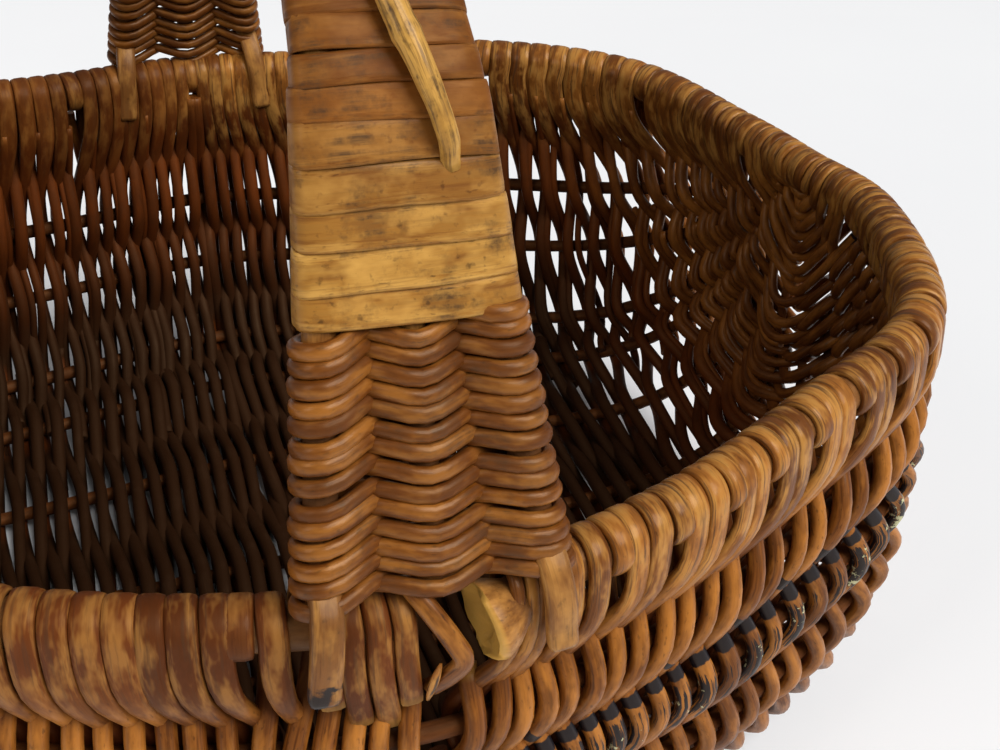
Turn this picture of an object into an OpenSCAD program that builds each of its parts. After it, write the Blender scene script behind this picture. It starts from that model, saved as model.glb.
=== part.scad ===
// Egg collection basket: an oval frame basket woven from willow rods over a
// rim hoop and twelve lengthwise ribs, with a fixed bow handle across its width.
//
// Millimetres, +Z up, X along the basket, Y across it, origin on the ground
// under the middle. The near side is -Y.

/* [Bowl] */
// Length of the bowl between the rim hoop's centre lines
rim_length = 472; // [440:2:520]
// Width of the bowl between the rim hoop's centre lines
rim_width = 398; // [380:2:430]
// Depth from the rim hoop's centre line to the middle of the woven floor
bowl_depth = 163; // [140:1:185]
// How much higher the rim stands at the ends than at the handle
rim_rise = 7.5; // [0:0.5:15]
// Outward swell of the wall below the rim, as a share of the half width
wall_swell = 0.015; // [0:0.005:0.05]

/* [Rods] */
// Diameter of the rim hoop's rod
hoop_d = 13.2; // [11:0.2:15]
// Thickness of the weavers where they are wound over the rim hoop
rim_wrap_t = 2.6; // [2:0.1:3.5]
// Diameter of a rib
rib_d = 6; // [5:0.5:7]
// Thickness of the weave, from the outer weavers to the inner ones
weave_t = 16; // [14:0.5:18]

/* [Handle] */
// Height of the handle's crown above the rim hoop's centre line
handle_height = 228; // [200:2:260]
// Diameter of the two outer handle rods
handle_rod_d = 9; // [8:0.5:10]
// Diameter of the middle handle rod
centre_rod_d = 7.5; // [6:0.5:9]
// Thickness of the split skein wound round the grip
skein_t = 1.4; // [1:0.1:2]
// Thickness of the woven part at each foot
foot_weave_t = 18; // [16:0.5:20]
// Diameter of the leader rod laid over the grip
leader_d = 7; // [5:0.5:8]

/* [Hidden] */
half_length = rim_length / 2;
half_width = rim_width / 2;
floor_z = weave_t / 2 - 0.4;
rim_z = floor_z + bowl_depth;
wrapped_r = hoop_d / 2 + rim_wrap_t;
gap = 0.25;
thin_edge = 0.6;

// The bowl's cross-section is a superellipse: nearly straight walls, a tight
// round turn and a flat floor.
section_power = 6;
pole_share = 0.93;

// Each rib leaves the rim's end at its own angle round the cross-section, from
// 0 at the near rim, through 90 under the middle, to 180 at the far rim.
rib_angles = [15.5, 25, 34, 43.5, 57, 74, 94, 115, 129, 136, 147, 157];
long_rib_share = 0.84;
short_rib_share = 0.76;

rod_sides = 8;
rib_sides = 6;
hoop_sides = 10;
hoop_steps = 48;
rib_steps = 28;
band_steps = 30;
band_rows = 3;
handle_steps = 36;

bark = [0.45, 0.24, 0.1];
honey = [0.66, 0.42, 0.17];
dark = [0.3, 0.15, 0.07];

// ---------- curves ----------

// A smooth curve through control points: the Catmull-Rom cubic of each stretch.
function stretch(p, i) =
    let (last = len(p) - 1,
         before = i > 0 ? p[i - 1] : 2 * p[0] - p[1],
         after = i + 2 <= last ? p[i + 2] : 2 * p[last] - p[last - 1])
    [before, p[i], p[i + 1], after];

function cubic(q, u) =
    0.5 * (2 * q[1] + (q[2] - q[0]) * u
           + (2 * q[0] - 5 * q[1] + 4 * q[2] - q[3]) * u * u
           + (3 * q[1] - q[0] - 3 * q[2] + q[3]) * u * u * u);

function through(p, u) =
    let (spans = len(p) - 1,
         i = min(spans - 1, floor(u * spans)))
    cubic(stretch(p, i), u * spans - i);

function unit(v) = v / norm(v);

// ---------- rim ----------

// Half of the rim seen from above, from the handle to the end, as shares of the
// half length and half width. The near side is fuller towards its end.
near_half = [[0, -1], [0.3, -0.94], [0.57, -0.81], [0.865, -0.61], [1, -0.24], [0.98, 0]];
far_half = [[0, 1], [0.3, 0.925], [0.6, 0.845], [0.865, 0.595], [0.95, 0.225], [0.98, 0]];

// The end of the rim is crossed squarely, so each half runs on past it.
function rim_half(near) =
    near ? concat(near_half, [far_half[4]]) : concat(far_half, [near_half[4]]);

function rim_height(x) = rim_z + rim_rise * (1 - cos(180 * min(1, abs(x) / (0.85 * half_length)))) / 2;

// A point of the rim's centre line: share runs from -1 at the left end, through
// 0 at the handle, to 1 at the right end.
function rim_point(near, share) =
    let (p = rim_half(near),
         i = min(4, floor(abs(share) * 5)),
         q = [i > 0 ? p[i - 1] : [-p[1][0], p[1][1]], p[i], p[i + 1], p[i + 2]],
         flat = cubic(q, abs(share) * 5 - i),
         x = sign(share) * flat[0] * half_length)
    [x, flat[1] * half_width, rim_height(x)];

// ---------- bowl ----------

// A point of the superellipse in a direction: [share outward, share downward].
function round_box(angle) =
    let (r = pow(pow(abs(cos(angle)), section_power) + pow(abs(sin(angle)), section_power),
                 -1 / section_power),
         out = r * cos(angle),
         down = r * abs(sin(angle)))
    [out * (1 + 4 * wall_swell * down * (1 - down)), down];

// The lengthwise middle line of the bowl, by its share of the way to the end.
keel_angles = [for (a = [0 : 3 : 90]) 90 - a];
keel_line = [for (a = keel_angles)
    let (p = round_box(a), end = rim_point(true, 1))
    [p[0] * end[0], end[2] - (end[2] - floor_z) * p[1]]];
function run_length(line, i) = i == 0 ? 0 : run_length(line, i - 1) + norm(line[i] - line[i - 1]);
keel_length = run_length(keel_line, len(keel_line) - 1);
keel_x = [for (i = [0 : len(keel_line) - 1]) [run_length(keel_line, i) / keel_length, keel_line[i][0]]];
keel_z = [for (i = [0 : len(keel_line) - 1]) [run_length(keel_line, i) / keel_length, keel_line[i][1]]];
function keel(share) = [sign(share) * lookup(abs(share), keel_x), 0, lookup(abs(share), keel_z)];

// A point of the bowl's middle surface.
function bowl(share, angle) =
    let (near = rim_point(true, share),
         far = rim_point(false, share),
         middle = (near + far) / 2,
         p = round_box(angle))
    middle + p[0] * (near - far) / 2 + p[1] * (keel(share) - middle);

function bowl_normal(share, angle) =
    let (along = bowl(share + 0.01, angle) - bowl(share - 0.01, angle),
         across = bowl(share, angle + 1) - bowl(share, angle - 1))
    unit(cross(across, along));

// The weave starts just under the wrapped rim, however shallow the section is.
function edge_angle(share) =
    atan((wrapped_r + 1.2) / norm(keel(share) - (rim_point(true, share) + rim_point(false, share)) / 2));

// ---------- solids ----------

// The faces of a closed skin over a grid of points: count rings of size points.
function ring_faces(count, size, closed) =
    [for (i = [0 : count - (closed ? 1 : 2)], j = [0 : size - 1])
        let (a = i * size, b = ((i + 1) % count) * size, k = (j + 1) % size)
        [a + j, b + j, b + k, a + k]];

function end_faces(count, size) =
    [[for (j = [0 : size - 1]) j], [for (j = [size - 1 : -1 : 0]) (count - 1) * size + j]];

module skin(rings, closed = false) {
    size = len(rings[0]);
    polyhedron([for (ring = rings) each ring],
               concat(ring_faces(len(rings), size, closed), closed ? [] : end_faces(len(rings), size)),
               convexity = 8);
}

// One cross-section of a rod: an ellipse facing along the path, with one half
// axis towards "up" and the other sideways.
function rod_ring(p, ahead, up, half_up, half_side, sides) =
    let (side = unit(cross(ahead, up)), top = unit(cross(side, ahead)))
    [for (j = [0 : sides - 1])
        let (a = 360 * (j + 0.5) / sides)
        p + half_up * cos(a) * top + half_side * sin(a) * side];

function direction(path, i) = path[min(i + 1, len(path) - 1)] - path[max(i - 1, 0)];

module rod(path, up, half_up, half_side, sides = rod_sides) {
    skin([for (i = [0 : len(path) - 1])
        rod_ring(path[i], direction(path, i), up, half_up, half_side, sides)]);
}

// A rib follows the bowl from end to end. The ribs stop short of the rim's end
// by turns, because there is no room there for all of them.
function rib_reach(i) = i % 2 == 0 ? long_rib_share : short_rib_share;

module rib(i) {
    a = rib_angles[i];
    skin([for (k = [0 : rib_steps])
        let (s = rib_reach(i) * (2 * k / rib_steps - 1))
        rod_ring(bowl(s, a), bowl(s + 0.01, a) - bowl(s - 0.01, a),
                 bowl_normal(s, a), rib_d / 2, rib_d / 2, rib_sides)]);
}

// Half the width of the channel that a rib leaves in the weave, in degrees.
function channel(i, share) =
    let (a = rib_angles[i],
         degree = norm(bowl(share, a + 1) - bowl(share, a - 1)) / 2,
         half = abs(share) < rib_reach(i) + 0.02 ? rib_d / 2 + gap : gap / 2)
    half / degree;

function on_ground(p) = [p[0], p[1], max(0, p[2])];

// A band of the weave fills the space between rib i - 1 and rib i, from end to
// end of the bowl: a shell of even thickness, flat where it stands.
module band(i) {
    ribs = len(rib_angles);
    skin([for (k = [0 : band_steps])
        let (s = pole_share * (2 * k / band_steps - 1),
             low = max(edge_angle(s), i > 0 ? rib_angles[i - 1] + channel(i - 1, s) : 0),
             high = min(180 - edge_angle(s), i < ribs ? rib_angles[i] - channel(i, s) : 180),
             top = max(high, low + thin_edge))
        [for (side = [1, -1], j = [0 : band_rows])
            let (a = side > 0 ? low + (top - low) * j / band_rows
                              : top - (top - low) * j / band_rows)
            on_ground(bowl(s, a) + side * weave_t / 2 * bowl_normal(s, a))]]);
}

// ---------- rim parts ----------

// The hoop starts at its broken end, under the near foot, and runs once round.
// Its two ends are a finger's width apart.
hoop_start = 0.034;
hoop_stop = -0.006;
broken_end_lift = 3;

function round_rim(u) = u <= 1 ? [true, u] : u <= 3 ? [false, 2 - u] : [true, u - 4];
function hoop_point(u) =
    let (at = round_rim(u),
         p = rim_point(at[0], at[1]),
         lift = broken_end_lift * max(0, 1 - (u - hoop_start) / 0.1))
    [p[0], p[1] - lift, p[2]];
function hoop_path(from, to) =
    [for (i = [0 : hoop_steps]) hoop_point(from + (to - from) * i / hoop_steps)];

module rim_hoop() {
    color(honey)
        rod(hoop_path(hoop_start, 4 + hoop_stop), [0, 0, 1], hoop_d / 2, hoop_d / 2, hoop_sides);
}

// The turns of the weavers over the hoop make a sleeve round it, open at the
// broken end.
module rim_wrapping() {
    path = hoop_path(hoop_start + 0.012, 4 - 0.13);
    color(bark)
        sleeve(rod_rings(path, wrapped_r), rod_rings(path, hoop_d / 2 + gap));
}

function rod_rings(path, r) =
    [for (i = [0 : len(path) - 1]) rod_ring(path[i], direction(path, i), [0, 0, 1], r, r, hoop_sides)];

// A sleeve is one closed skin that runs out over its outer rings and back
// through its inner ones.
module sleeve(outer, inner) {
    skin(concat(outer, [for (i = [len(inner) - 1 : -1 : 0]) inner[i]]), closed = true);
}

// ---------- handle ----------

// The left or right handle rod from the near foot to the crown, relative to the
// rim hoop's centre line: x grows outwards from the middle of the grip.
rod_rise = [[29.5, -half_width, 18],
            [22.5, 19 - half_width, 0.33 * handle_height],
            [17.8, 34 - half_width, 0.54 * handle_height],
            [14.5, 48 - half_width, 0.64 * handle_height],
            [12.5, 101 - half_width, 0.88 * handle_height],
            [12, 0, handle_height]];
rod_line = concat(rod_rise, [for (i = [len(rod_rise) - 2 : -1 : 0])
    [rod_rise[i][0], -rod_rise[i][1], rod_rise[i][2]]]);

// A point of the handle's middle line for a share of its length; spread places
// it from the left rod (-1), through the centre rod (0), to the right rod (1).
function handle_point(share, spread) =
    let (p = through(rod_line, share))
    [spread * p[0], p[1], p[2] + rim_z];

function handle_along(share, spread) =
    handle_point(min(1, share + 0.004), spread) - handle_point(max(0, share - 0.004), spread);

function handle_out(share) =
    let (d = handle_along(share, 0))
    unit([0, -d[2], d[1]]);

// A handle rod between two shares of the handle's length.
module handle_rod(spread, d, from = 0, to = 1) {
    steps = ceil(handle_steps * (to - from)) + 1;
    skin([for (i = [0 : steps])
        let (s = from + (to - from) * i / steps)
        rod_ring(handle_point(s, spread), handle_along(s, spread), handle_out(s),
                 d / 2, d / 2, rod_sides)]);
}

// Each outer rod is split at the foot into two tongues that stand astride the
// rim. Out is 1 for the tongue outside the rim and -1 for the one inside it.
tongue_t = 5.4;
tongue_w = 10;
module tongue(spread, near, out) {
    side = near ? -1 : 1;
    y = side * half_width;
    step = side * out * (wrapped_r + tongue_t / 2 + 0.4);
    drop = out > 0 ? 13.5 : 15;
    path = [[spread * 29.2, y - side * 1.5 + 0.12 * step, rim_z + 20],
            [spread * 30.2, y + 0.72 * step, rim_z + 13],
            [spread * 31.3, y + step, rim_z + 4],
            [spread * 32.4, y + step, rim_z - 8],
            [spread * 33, y + 1.04 * step, rim_z - drop]];
    rod([for (i = [0 : 8]) through(path, i / 8)], [0, -side * out, 0.01],
        tongue_t / 2, tongue_w / 2);
}

module outer_rod(spread) {
    union() {
        handle_rod(spread, handle_rod_d);
        for (near = [true, false], out = [1, -1])
            tongue(spread, near, out);
    }
}

module handle_left_rod() {
    color(honey) outer_rod(-1);
}

module handle_centre_rod() {
    color(honey) handle_rod(0, centre_rod_d);
}

module handle_right_rod() {
    color(honey) outer_rod(1);
}

// One flat rounded ring round all three rods.
grip_sides = 12;
function grip_ring(share, half_w, half_t) =
    let (p = handle_point(share, 0), out = handle_out(share))
    [for (j = [0 : grip_sides - 1])
        let (a = 360 * (j + 0.5) / grip_sides,
             r = pow(pow(abs(cos(a)), 4) + pow(abs(sin(a)), 4), -1 / 4))
        p + [half_w * r * cos(a), 0, 0] + half_t * r * sin(a) * out];
function rod_spread(share) = through(rod_line, share)[0];

// The stretch of each foot that is woven, as shares of the handle's length.
foot_from = 0.004;
foot_to = 0.1;
foot_weave_side = 4.5;

module foot_weave(near) {
    from = near ? foot_from : 1 - foot_to;
    to = near ? foot_to : 1 - foot_from;
    steps = 6;
    past = 0.05;
    low = max(0, from - past);
    high = min(1, to + past);
    difference() {
        skin([for (i = [0 : steps])
            let (s = from + (to - from) * i / steps)
            grip_ring(s, rod_spread(s) + handle_rod_d / 2 + foot_weave_side, foot_weave_t / 2)]);
        for (spread = [-1, 1])
            handle_rod(spread, handle_rod_d + 2 * gap, low, high);
        handle_rod(0, centre_rod_d + 2 * gap, low, high);
        for (spread = [-1, 1], out = [-1, 1])
            tongue(spread, near, out);
    }
}

module handle_weave_near() {
    color(bark) foot_weave(true);
}

module handle_weave_far() {
    color(bark) foot_weave(false);
}

// The skein is a sleeve of flat split strip round the three rods.
skein_inner = handle_rod_d / 2 + 0.6;
module handle_skein() {
    steps = 26;
    from = foot_to + 0.004;
    shares = [for (i = [0 : steps]) from + (1 - 2 * from) * i / steps];
    color(honey)
        sleeve([for (s = shares)
                    grip_ring(s, rod_spread(s) + skein_inner + skein_t, skein_inner + skein_t)],
               [for (s = shares) grip_ring(s, rod_spread(s) + skein_inner, skein_inner)]);
}

// The leader lies on the outer face of the grip, slightly askew, from the crown
// to where it is tucked under the skein.
leader_from = 0.172;
leader_to = 0.46;
leader_low_x = 12;
leader_high_x = -14;
module handle_leader_rod() {
    steps = 16;
    lift = skein_inner + skein_t + leader_d / 2 + gap;
    path = [for (i = [0 : steps])
        let (u = i / steps, s = leader_from + (leader_to - leader_from) * u)
        handle_point(s, 0) + [leader_low_x + (leader_high_x - leader_low_x) * u, 0, 0]
            + lift * handle_out(s)];
    color(honey)
        rod(path, [0, -0.6, 1], leader_d / 2, leader_d / 2);
}

// ---------- ribs and weave ----------

module rib_near_wall_1() { color(dark) rib(0); }
module rib_near_wall_2() { color(dark) rib(1); }
module rib_near_wall_3() { color(dark) rib(2); }
module rib_near_corner() { color(dark) rib(3); }
module rib_floor_1() { color(dark) rib(4); }
module rib_floor_2() { color(dark) rib(5); }
module rib_floor_3() { color(dark) rib(6); }
module rib_floor_4() { color(dark) rib(7); }
module rib_far_corner() { color(dark) rib(8); }
module rib_far_wall_3() { color(dark) rib(9); }
module rib_far_wall_2() { color(dark) rib(10); }
module rib_far_wall_1() { color(dark) rib(11); }

module weave_near_rim() { color(bark) band(0); }
module weave_near_wall_1() { color(bark) band(1); }
module weave_near_wall_2() { color(bark) band(2); }
module weave_near_wall_3() { color(bark) band(3); }
module weave_near_corner() { color(bark) band(4); }
module weave_floor_1() { color(bark) band(5); }
module weave_floor_2() { color(bark) band(6); }
module weave_floor_3() { color(bark) band(7); }
module weave_far_corner_2() { color(bark) band(8); }
module weave_far_corner_1() { color(bark) band(9); }
module weave_far_wall_2() { color(bark) band(10); }
module weave_far_wall_1() { color(bark) band(11); }
module weave_far_rim() { color(bark) band(12); }

rim_hoop();
rim_wrapping();
rib_near_wall_1();
rib_near_wall_2();
rib_near_wall_3();
rib_near_corner();
rib_floor_1();
rib_floor_2();
rib_floor_3();
rib_floor_4();
rib_far_corner();
rib_far_wall_3();
rib_far_wall_2();
rib_far_wall_1();
weave_near_rim();
weave_near_wall_1();
weave_near_wall_2();
weave_near_wall_3();
weave_near_corner();
weave_floor_1();
weave_floor_2();
weave_floor_3();
weave_far_corner_2();
weave_far_corner_1();
weave_far_wall_2();
weave_far_wall_1();
weave_far_rim();
handle_left_rod();
handle_centre_rod();
handle_right_rod();
handle_weave_near();
handle_weave_far();
handle_skein();
handle_leader_rod();
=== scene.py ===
"""Looks of the egg collection basket: every willow rod of the weave as its own
curved, tapering tube, over the bowl that the CAD nodes hold.

All lengths are written in millimetres and made metres when a mesh is built.
The frame is the CAD's: +Z up, X along the basket, the near side at -Y.
"""

import bpy
import numpy as np
from mathutils import Matrix


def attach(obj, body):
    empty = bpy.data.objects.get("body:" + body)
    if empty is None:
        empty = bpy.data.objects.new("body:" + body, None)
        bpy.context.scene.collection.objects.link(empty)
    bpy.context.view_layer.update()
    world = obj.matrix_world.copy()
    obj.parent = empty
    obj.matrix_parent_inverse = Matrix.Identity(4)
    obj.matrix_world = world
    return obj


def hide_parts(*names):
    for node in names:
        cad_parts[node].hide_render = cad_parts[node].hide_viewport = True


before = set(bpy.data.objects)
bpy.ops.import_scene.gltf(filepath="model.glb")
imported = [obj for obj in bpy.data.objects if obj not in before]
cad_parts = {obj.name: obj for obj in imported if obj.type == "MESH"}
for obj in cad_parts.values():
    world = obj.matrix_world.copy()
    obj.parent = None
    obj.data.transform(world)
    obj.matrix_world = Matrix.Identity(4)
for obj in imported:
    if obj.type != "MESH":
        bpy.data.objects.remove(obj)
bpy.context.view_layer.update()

MM = 0.001
RNG = np.random.default_rng(11)


def chance(low=0.0, high=1.0):
    return float(RNG.uniform(low, high))


def new_seed():
    return int(RNG.integers(1 << 30))


# ---- dimensions

HALF_LENGTH = 236.0
HALF_WIDTH = 199.0
FLOOR_Z = 7.6
RIM_Z = FLOOR_Z + 163.0
RIM_RISE = 7.5
WALL_SWELL = 0.015
SECTION_POWER = 6.0
HOOP_R = 6.6
WRAPPED_R = 9.2
RIB_R = 3.0
RIB_ANGLES = np.array([15.5, 25, 34, 43.5, 57, 74, 94, 115, 129, 136, 147, 157])
LONG_RIB_SHARE, SHORT_RIB_SHARE = 0.84, 0.76

TURN_HALF_T = 1.7
TURN_R = WRAPPED_R - TURN_HALF_T
TURN_FROM, TURN_TO = -88, 268  # a whole turn's angles, from below the hoop to below it
TURN_POINTS = 29
TURN_SQUARE = 2.9
TURN_WEAR_AND_HIGHLIGHT = 0.75
LEAVES_RIM = 4.6  # the angle below the rim at which a weaver leaves the hoop
ROD_SIDES = 10

HANDLE_HEIGHT = 228.0
HANDLE_ROD_R = 4.5
CENTRE_ROD_R = 3.75
FOOT_FROM, FOOT_TO = -0.0155, 0.1
SKEIN_T = 1.4
SKEIN_INNER = HANDLE_ROD_R + 0.6
LEADER_R = 3.5

# ---- curves


def cubic(q0, q1, q2, q3, u):
    """The Catmull-Rom cubic from q1 to q2."""
    u = u[..., None]
    return 0.5 * (2 * q1 + (q2 - q0) * u + (2 * q0 - 5 * q1 + 4 * q2 - q3) * u**2
                  + (3 * q1 - q0 - 3 * q2 + q3) * u**3)


def through(points, share):
    """A smooth curve through the points, at shares 0 to 1 of the way along."""
    p = np.asarray(points, float)
    p = np.vstack([2 * p[0] - p[1], p, 2 * p[-1] - p[-2]])
    spans = len(p) - 3
    at = np.clip(np.asarray(share, float), 0, 1) * spans
    i = np.minimum(at.astype(int), spans - 1)
    return cubic(p[i], p[i + 1], p[i + 2], p[i + 3], at - i)


def unit(v):
    return v / np.maximum(np.linalg.norm(v, axis=-1, keepdims=True), 1e-9)


def ease(u):
    """0 to 1 with flat ends."""
    u = np.clip(u, 0, 1)
    return u * u * (3 - 2 * u)


def run_along(line):
    """The distance along a line of points, at each of them."""
    return np.r_[0, np.cumsum(np.linalg.norm(np.diff(line, axis=0), axis=1))]


NEAR_HALF = np.array([[0, -1], [0.3, -0.94], [0.57, -0.81], [0.865, -0.61], [1, -0.24], [0.98, 0]])
FAR_HALF = np.array([[0, 1], [0.3, 0.925], [0.6, 0.845], [0.865, 0.595], [0.95, 0.225], [0.98, 0]])


def rim_point(near, share):
    """The rim's centre line: share runs from -1 at the left end to 1 at the right."""
    half, other = (NEAR_HALF, FAR_HALF) if near else (FAR_HALF, NEAR_HALF)
    p = np.vstack([half[1] * [-1, 1], half, other[-2:-1]])
    share = np.asarray(share, float)
    at = np.clip(np.abs(share), 0, 1) * 5
    i = np.minimum(at.astype(int), 4)
    flat = cubic(p[i], p[i + 1], p[i + 2], p[i + 3], at - i)
    x = np.sign(share) * flat[..., 0] * HALF_LENGTH
    rise = RIM_RISE * (1 - np.cos(np.pi * np.minimum(1, np.abs(x) / (0.85 * HALF_LENGTH)))) / 2
    return np.stack([x, flat[..., 1] * HALF_WIDTH, RIM_Z + rise], -1)


def round_box(angle):
    """The superellipse that is the bowl's cross-section: shares outward and down."""
    a = np.radians(angle)
    c, s = np.cos(a), np.abs(np.sin(a))
    r = (np.abs(c) ** SECTION_POWER + s**SECTION_POWER) ** (-1 / SECTION_POWER)
    out, down = r * c, r * s
    return out * (1 + 4 * WALL_SWELL * down * (1 - down)), down


def keel_table():
    """The bowl's lengthwise middle line, by its share of the way to the end."""
    out, down = round_box(90 - np.arange(0, 91, 3.0))
    end = rim_point(True, 1.0)
    line = np.stack([out * end[0], end[2] - (end[2] - FLOOR_Z) * down], -1)
    run = run_along(line)
    return run / run[-1], line


KEEL_SHARE, KEEL_LINE = keel_table()


def keel(share):
    a = np.abs(share)
    return np.stack([np.sign(share) * np.interp(a, KEEL_SHARE, KEEL_LINE[:, 0]), 0 * a,
                     np.interp(a, KEEL_SHARE, KEEL_LINE[:, 1])], -1)


def bowl(share, angle):
    """A point of the bowl's middle surface, by share along it and angle round it."""
    share, angle = np.broadcast_arrays(np.asarray(share, float), np.asarray(angle, float))
    near, far = rim_point(True, share), rim_point(False, share)
    middle = (near + far) / 2
    out, down = round_box(angle)
    return middle + out[..., None] * (near - far) / 2 + down[..., None] * (keel(share) - middle)


def bowl_normal(share, angle):
    step_s, step_a = 0.01, 1.0
    along = bowl(share + step_s, angle) - bowl(share - step_s, angle)
    low, high = np.clip(angle - step_a, 0, 180), np.clip(angle + step_a, 0, 180)
    return unit(np.cross(bowl(share, high) - bowl(share, low), along))


# ---- meshes


def slow_noise(x, seed, waves=3):
    """A smooth wander between about -1 and 1: a few sines of random pace and phase."""
    rng = np.random.default_rng(seed)
    total = 0
    for k in range(waves):
        total = total + np.sin(x * rng.uniform(0.6, 1.6) * (k + 1) + rng.uniform(0, 6.28)) / (k + 1)
    return total / 1.6


# The second mask is painted shade, and the fifth both real wear and a painted gold highlight.
MASKS = ("tone", "inner", "paint", "chips", "wear_and_highlight", "cut")


class Tubes:
    """Collects rods, and builds them as one mesh.

    Each rod is a ring of ROD_SIDES points for every point of its path. The ring
    is a superellipse: half_up towards "up", half_side across, and squareness 2
    for an ellipse or more for a flattened strip. The ends are closed by a fan.
    Every point keeps its place along and round the rod, for the wood's grain.
    """

    def __init__(self, sides=ROD_SIDES):
        self.sides = sides
        self.points, self.faces, self.grain, self.masks = [], [], [], []
        self.count = 0

    def add(self, path, up, half_up, half_side, square=2.0, tone=0.5, inner=0.0, paint=0.0,
            chips=0.0, wear_and_highlight=0.0, cut=0.0, ahead=None):
        """Adds one rod. The last seven are masks, and the path's own tangent if it
        folds back."""
        n, m = len(path), self.sides
        ahead = unit(np.gradient(path, axis=0)) if ahead is None else ahead
        side = unit(np.cross(ahead, up))
        top = unit(np.cross(side, ahead))
        a = 2 * np.pi * (np.arange(m) + 0.5) / m
        spread = np.broadcast_to
        power = 2 / spread(square, n)[:, None]
        c = np.sign(np.cos(a)) * np.abs(np.cos(a)) ** power
        s = np.sign(np.sin(a)) * np.abs(np.sin(a)) ** power
        hu, hs = spread(half_up, n)[:, None, None], spread(half_side, n)[:, None, None]
        rings = path[:, None] + hu * c[..., None] * top[:, None] + hs * s[..., None] * side[:, None]
        run = run_along(path)
        grain = np.stack([hs[..., 0] * np.cos(a), hs[..., 0] * np.sin(a),
                          spread(run[:, None], (n, m))], -1)
        masks = np.stack([spread(np.asarray(v, float).reshape(-1, 1), (n, m))
                          for v in (tone, inner, paint, chips, wear_and_highlight, cut)], -1)
        i, j = np.meshgrid(np.arange(n - 1), np.arange(m), indexing="ij")
        k = (j + 1) % m
        base = self.count
        quads = np.stack([i * m + j, i * m + k, (i + 1) * m + k, (i + 1) * m + j], -1).reshape(-1, 4)
        caps = [(base + np.arange(m)[::-1]).tolist(), (base + (n - 1) * m + np.arange(m)).tolist()]
        self.points.append(rings.reshape(-1, 3))
        self.grain.append(grain.reshape(-1, 3))
        self.masks.append(masks.reshape(-1, len(MASKS)))
        self.faces.extend((quads + base).tolist())
        self.faces.extend(caps)
        self.count += n * m

    def build(self, name, material, nodes=()):
        """Makes the mesh, with the grain and the masks as attributes of its points."""
        points = np.concatenate(self.points) * MM
        mesh = bpy.data.meshes.new(name)
        mesh.from_pydata(points.tolist(), [], self.faces)
        mesh.update()
        mesh.polygons.foreach_set("use_smooth", [len(f) == 4 for f in self.faces])
        grain = mesh.attributes.new("grain", "FLOAT_VECTOR", "POINT")
        grain.data.foreach_set("vector", np.concatenate(self.grain).ravel())
        masks = np.concatenate(self.masks)
        for k, word in enumerate(MASKS):
            layer = mesh.attributes.new(word, "FLOAT", "POINT")
            layer.data.foreach_set("value", np.ascontiguousarray(masks[:, k]))
        mesh.materials.append(material)
        return place(name, mesh, nodes)


def added(name, data):
    """A new object in the scene that shows the data."""
    made = bpy.data.objects.new(name, data)
    bpy.context.scene.collection.objects.link(made)
    return made


def place(name, mesh, nodes=()):
    """A piece of the basket, on the one body and for its CAD nodes."""
    piece = added(name, mesh)
    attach(piece, "root")
    if nodes:
        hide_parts(*nodes)
    return piece


# ---- materials


class Shader:
    """Small helper that adds nodes to a tree and links them."""

    def __init__(self, tree):
        self.tree = tree

    def node(self, kind, inputs=None, **settings):
        made = self.tree.nodes.new(kind)
        for key, value in settings.items():
            setattr(made, key, value)
        for key, value in (inputs or {}).items():
            socket = made.inputs[key]
            if isinstance(value, bpy.types.NodeSocket):
                self.tree.links.new(value, socket)
            else:
                socket.default_value = value
        return made

    def math(self, operation, a, b=0.5, clamp=False):
        return self.node("ShaderNodeMath", {0: a, 1: b}, operation=operation, use_clamp=clamp).outputs[0]

    def mix(self, factor, a, b):
        made = self.node("ShaderNodeMix", data_type="RGBA")
        for key, value in ((0, factor), (6, a), (7, b)):
            if isinstance(value, bpy.types.NodeSocket):
                self.tree.links.new(value, made.inputs[key])
            else:
                made.inputs[key].default_value = value
        return made.outputs[2]

    def noise(self, vector, scale, detail=3.0, rough=0.55):
        return self.node("ShaderNodeTexNoise", {"Vector": vector, "Scale": scale, "Detail": detail,
                                                "Roughness": rough}).outputs[0]

    def span(self, value, low, high, to_low=0.0, to_high=1.0):
        made = self.node("ShaderNodeMapRange", {"Value": value, "From Min": low, "From Max": high,
                                                "To Min": to_low, "To Max": to_high})
        made.clamp = True
        return made.outputs[0]

    def attribute(self, name, output=2):
        return self.node("ShaderNodeAttribute", attribute_name=name).outputs[output]

    def finish(self, shader):
        out = self.node("ShaderNodeOutputMaterial")
        self.tree.links.new(shader.outputs[0], out.inputs[0])


def colour(r, g, b):
    return (r, g, b, 1.0)


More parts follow.
